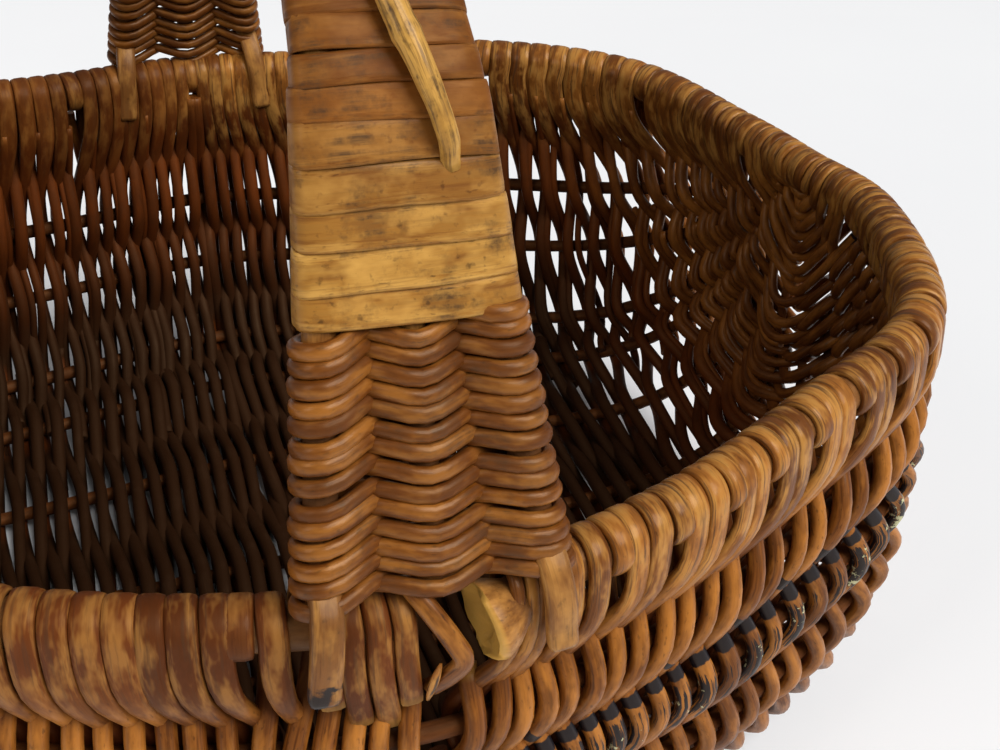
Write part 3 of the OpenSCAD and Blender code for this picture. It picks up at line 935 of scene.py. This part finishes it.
def handle_out(share):
    d = handle_point(share + 0.004, 0.0) - handle_point(share - 0.004, 0.0)
    return unit(np.stack([0 * d[..., 0], -d[..., 2], d[..., 1]], -1))


TONGUE_HALF_T, TONGUE_HALF_W = 2.5, 4.4
TONGUE_DROP = {1: 12.0, -1: 15.0}


def tongue_path(spread, near, out):
    """Half of a split handle foot, from inside the woven panel to its square end."""
    side = -1 if near else 1
    y = side * HALF_WIDTH
    step = side * out * (WRAPPED_R + 2.7 + 0.4)
    drop = TONGUE_DROP[out]
    knots = [[spread * 29.2, y - side * 1.5 + 0.12 * step, RIM_Z + 20],
             [spread * 30.2, y + 0.72 * step, RIM_Z + 13], [spread * 31.3, y + step, RIM_Z + 4],
             [spread * 32.2, y + step, RIM_Z - 6], [spread * 32.8, y + 1.04 * step, RIM_Z - drop]]
    return through(knots, np.linspace(0, 1, 26)), [0, -side * out, 0.01]


def handle_rods():
    names = {-1: ("handle_left", "handle_left_rod"), 0: ("handle_centre", "handle_centre_rod"),
             1: ("handle_right", "handle_right_rod")}
    share = np.linspace(0, 1, 120)
    for spread, (name, node) in names.items():
        tubes = Tubes(sides=14)
        r = HANDLE_ROD_R if spread else CENTRE_ROD_R
        wander = 1 + 0.03 * slow_noise(share * 30, 60 + spread)
        # The rods are darkened with painted shade where they run inside the foot panels.
        tubes.add(handle_point(share, float(spread)), handle_out(share), r * wander, r * wander,
                  tone=0.5 + 0.2 * spread, inner=0.5 * ((share < FOOT_TO) | (share > 1 - FOOT_TO)))
        if spread:
            for near in (True, False):
                for out in (1, -1):
                    path, up = tongue_path(spread, near, out)
                    end = np.linspace(0, 1, len(path))
                    thin = 1 - 0.12 * ease((end - 0.93) / 0.07)
                    grime = ease((end - 0.64) / 0.1) * (1.0 if near and spread < 0 else 0.0)
                    tubes.add(path, up, TONGUE_HALF_T * thin, TONGUE_HALF_W * thin, 3.6,
                              tone=0.35 + 0.2 * spread, inner=0.16, paint=0.55 * grime, wear_and_highlight=0.35)
        tubes.build(name, GRIP_ROD, [node])


PANEL_PITCH = 2.42


def foot_panel(near):
    """One weaver that goes to and fro between the three rods of a foot.

    Going right it passes over the outer rods and under the middle one, and going
    left the other way about. At each edge it makes a half turn round the outer
    rod, and it rises by one pitch a pass. Between rods it stands a little higher.
    """
    tubes = Tubes(sides=12)
    passes = 29
    half_t, half_w = (1.9, 2.35) if near else (1.7, 2.0)
    across, turns = 15, 9
    x, depth, up_x, up_out, climb, sag = ([] for part in range(6))
    for n in range(passes):
        going = 1 if n % 2 == 0 else -1
        front = 1.0 if n % 2 == 0 else -1.0
        t = np.linspace(-1, 1, across)
        reach = HANDLE_ROD_R + half_t
        middle = CENTRE_ROD_R + half_t
        amount = np.where(np.abs(t) < 0.5, middle, reach)
        x.append(np.stack([going * t, 0 * t], -1))
        depth.append(-front * amount * np.cos(np.pi * t))
        up_x.append(0 * t)
        up_out.append(np.full(across, front))
        climb.append(n + 0.86 * (t + 1) / 2)
        sag.append(-1.2 * np.cos(2 * np.pi * t))
        a = np.linspace(0, np.pi, turns + 2)[1:-1]
        x.append(np.stack([0 * a + going, going * reach * np.sin(a)], -1))
        depth.append(front * reach * np.cos(a))
        up_x.append(going * np.sin(a))
        up_out.append(front * np.cos(a))
        climb.append(n + 0.86 + 0.14 * a / np.pi)
        sag.append(np.full(turns, -1.2))
    hidden = across // 2 - 1  # the first pass begins behind the middle rod
    x, depth, up_x, up_out, climb, sag = (np.concatenate(part)[hidden:] for part in
                                          (x, depth, up_x, up_out, climb, sag))
    rise = 0.00172 * PANEL_PITCH * climb + FOOT_FROM
    share = rise if near else 1 - rise
    rng = np.random.default_rng(21 if near else 22)
    wobble = np.interp(climb, np.arange(passes + 2), rng.normal(0, 0.45, passes + 2))
    ahead = unit(handle_point(share + 0.004, 0.0) - handle_point(share - 0.004, 0.0))
    out = handle_out(share)
    p = handle_point(share, 0.0)
    p[:, 0] = x[:, 0] * handle_line(share)[:, 0] + x[:, 1]
    p = p + depth[:, None] * out + ((sag + wobble) * (1 if near else -1))[:, None] * ahead
    up = up_out[:, None] * out + up_x[:, None] * np.array([1.0, 0, 0])
    thick = 1 + 0.1 * slow_noise(climb * 0.9, 31)
    darker = np.interp(climb, np.arange(passes + 2), rng.uniform(0.0, 0.4, passes + 2))
    tubes.add(p, up, half_t * thick, half_w * thick, 2.2, 0.6, inner=darker,
              wear_and_highlight=0.2 * np.abs(up_out))
    word = "near" if near else "far"
    tubes.build(f"foot_panel_{word}", FOOT, [f"handle_weave_{word}"])


def grip_ring(share, angle, half_w, half_t):
    """A point of the flat rounded ring round the three rods of the grip."""
    c, s = np.cos(angle), np.sin(angle)
    r = (np.abs(c) ** 4 + np.abs(s) ** 4) ** -0.25
    out = handle_out(share)
    p = handle_point(share, 0.0) + (half_t * r * s)[:, None] * out
    p[:, 0] += half_w * r * c
    flat = unit(np.stack([c**3 / half_w, s**3 / half_t], -1))
    return p, flat[:, :1] * np.array([1.0, 0, 0]) + flat[:, 1:] * out


ARC_SHARE = np.linspace(0, 1, 801)
ARC_RUN = run_along(handle_point(ARC_SHARE, 0.0))


def skein():
    """The grip's skein: flat split strips wound close, evenly along the bow, each
    with its lower edge lying over the turn before."""
    tubes = Tubes(sides=12)
    turns = 56
    first, last = np.interp([FOOT_TO + 0.006, 0.894], ARC_SHARE, ARC_RUN)
    pitch = (last - first) / turns
    widths = RNG.uniform(0.8, 1.25, turns)
    widths = widths / widths.mean() * pitch
    stops = first + np.cumsum(widths)
    for n in range(turns):
        from_end = min(stops[n] - widths[n], ARC_RUN[-1] - stops[n])
        angle = np.linspace(-0.5 * np.pi - 0.35, 1.5 * np.pi + 0.35, 44)
        run = stops[n] - 0.5 * widths[n] + 0.25 * pitch * (angle - 0.5 * np.pi) / np.pi
        share = np.interp(run + 0.5 * slow_noise(angle * 1.1, 300 + n), ARC_RUN, ARC_SHARE)
        half_w = handle_line(share)[:, 0] + SKEIN_INNER + 0.5 * SKEIN_T
        p, up = grip_ring(share, angle, half_w, SKEIN_INNER + 0.5 * SKEIN_T)
        ahead = unit(handle_point(share + 0.004, 0.0) - handle_point(share - 0.004, 0.0))
        tilt = 0.085 if stops[n] < 0.5 * ARC_RUN[-1] else -0.085
        swell = 0.25 * slow_noise(angle * 1.7, 700 + n)
        p = p + (swell + 0.1)[:, None] * up
        shade = ease((from_end - 72) / 40)
        half = 0.57 * widths[n] * (1 + 0.05 * slow_noise(angle * 1.3, 900 + n))
        tubes.add(p, unit(up + tilt * ahead), 0.62, half, 4.0, tone=chance(0.05, 1),
                  inner=0.45 * shade, wear_and_highlight=0.3 * (1 - 0.6 * shade))
    tubes.build("grip_skein", SKEIN, ["handle_skein"])


def leader():
    """The rod laid along the grip, with two swollen knots, its low end tucked in."""
    tubes = Tubes(sides=14)
    u = np.linspace(0, 1, 60)
    share = 0.172 + (0.46 - 0.172) * u
    lift = SKEIN_INNER + SKEIN_T + LEADER_R + 0.25 - 5.5 * ease((0.06 - u) / 0.06)
    lift = lift - 5.5 * ease((u - 0.94) / 0.06)
    p = handle_point(share, 0.0) + lift[:, None] * handle_out(share)
    p[:, 0] += 12.0 - 26.0 * u + 0.35 * slow_noise(u * 9, 77)
    knots = 0.10 * np.exp(-(((u - 0.34) / 0.02) ** 2)) + 0.08 * np.exp(-(((u - 0.66) / 0.02) ** 2))
    radius = LEADER_R * (0.72 + 0.28 * ease(u / 0.35) + knots + 0.03 * slow_noise(u * 20, 78))
    tubes.add(p, handle_out(share), 0.85 * radius, radius, tone=0.95, wear_and_highlight=0.6)
    tubes.build("grip_leader", SKEIN, ["handle_leader_rod"])


# ---- stage


def aim(made, right, up, back, where=(0, 0, 0)):
    """Turns and places an object by its three axes and its origin, in metres."""
    matrix = np.eye(4)
    matrix[:3, :3] = np.stack([right, up, back], -1)
    matrix[:3, 3] = where
    made.matrix_world = Matrix(matrix.tolist())


def camera():
    """From the near left, close by, and looking down into the bowl."""
    eye = np.array([-79.9, -445.7, 245.3 + RIM_Z])
    yaw, pitch, roll = 0.3722, 0.5845, 0.0405
    ahead = np.array([np.sin(yaw) * np.cos(pitch), np.cos(yaw) * np.cos(pitch), -np.sin(pitch)])
    right = np.array([np.cos(yaw), -np.sin(yaw), 0])
    up = np.cross(right, ahead)
    c, s = np.cos(roll), np.sin(roll)
    right, up = c * right + s * up, c * up - s * right
    data = bpy.data.cameras.new("camera")
    data.sensor_width = 36.0
    data.lens = 1331.5 / 1000 * data.sensor_width
    data.clip_start = 0.01
    made = added("camera", data)
    aim(made, right, up, -ahead, eye * MM)
    bpy.context.scene.camera = made


def floor_plane():
    """Flat pale ground, with a slow mottle that keeps it from being one flat colour."""
    half = 6.0
    mesh = bpy.data.meshes.new("ground")
    mesh.from_pydata([(-half, -half, 0), (half, -half, 0), (half, half, 0), (-half, half, 0)], [],
                     [(0, 1, 2, 3)])
    material, s = new_material("ground_white")
    tint = s.noise(s.node("ShaderNodeTexCoord").outputs["Object"], 3.0)
    pale = s.mix(tint, colour(0.90, 0.90, 0.91), colour(0.95, 0.95, 0.95))
    shader = s.node("ShaderNodeBsdfPrincipled", {"Base Color": pale, "Roughness": 0.7})
    s.finish(shader)
    mesh.materials.append(material)
    added("ground", mesh)


def light(name, place_m, size, power, tint, target=(0, 0, 0.1)):
    """A rectangular lamp that faces its target, both in metres."""
    data = bpy.data.lights.new(name, "AREA")
    data.shape = "RECTANGLE"
    data.size, data.size_y = size
    data.energy = power
    data.color = tint
    ahead = unit(np.array(target, float) - np.array(place_m, float))
    right = unit(np.cross(ahead, [0, 0, 1.0]))
    aim(added(name, data), right, np.cross(right, ahead), -ahead, place_m)


def sun(name, towards, strength, spread):
    """Light from far off, from the direction given, as soft as its spread is wide."""
    data = bpy.data.lights.new(name, "SUN")
    data.energy = strength
    data.angle = spread
    back = unit(np.array(towards, float))
    right = unit(np.cross([0, 0, 1.0], back))
    aim(added(name, data), right, np.cross(back, right), back)


def studio():
    """A dim white surround, one soft high light from the right and a faint left one."""
    scene = bpy.context.scene
    scene.view_settings.view_transform = "Standard"
    world = bpy.data.worlds.new("studio")
    scene.world = world
    world.use_nodes = True
    background = world.node_tree.nodes["Background"]
    background.inputs[0].default_value = (0.95, 0.97, 1.0, 1)
    background.inputs[1].default_value = 0.2
    sun("main_light", (0.55, -0.75, 1.05), 3.3, 0.75)
    light("left_glow", (-0.9, -0.5, 0.9), (0.5, 0.8), 3.2, (1.0, 0.97, 0.93))
    floor_plane()


camera()
hoop()
weave()
extra_turns()
packing()
bent_end()
ribs()
handle_rods()
foot_panel(True)
foot_panel(False)
skein()
leader()
studio()
